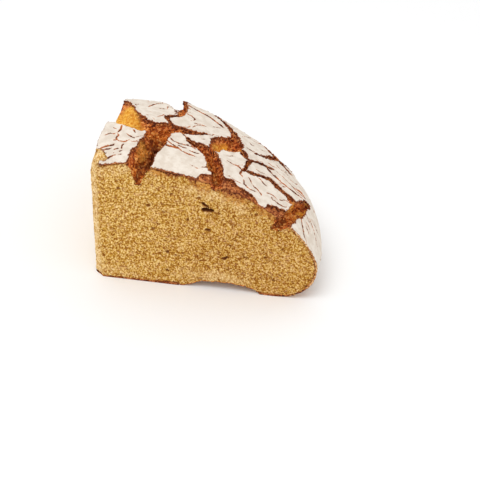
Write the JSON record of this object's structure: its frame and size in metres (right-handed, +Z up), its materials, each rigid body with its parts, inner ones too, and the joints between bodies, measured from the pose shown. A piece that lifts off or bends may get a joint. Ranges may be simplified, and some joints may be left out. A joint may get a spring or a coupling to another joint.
{
  "type": "cornbread",
  "caption": "Quarter of a round country cornbread: floured crust split into plates, and two upright cut faces of yellow crumb.",
  "frame": {"origin": "on the base, under the middle of the bounding box", "axes": "+Z up, +X along the front cut from the loaf's middle to its rim, +Y along the side cut from the loaf's middle to its rim"},
  "size_m": [0.1504, 0.152, 0.0965],
  "materials": {
    "crumb": "open porous yellow crumb",
    "crust": "floured crust plates, baked brown along their edges and in the splits"
  },
  "bodies": {
    "root": {"cornbread": "crumb"}
  },
  "joints": []
}
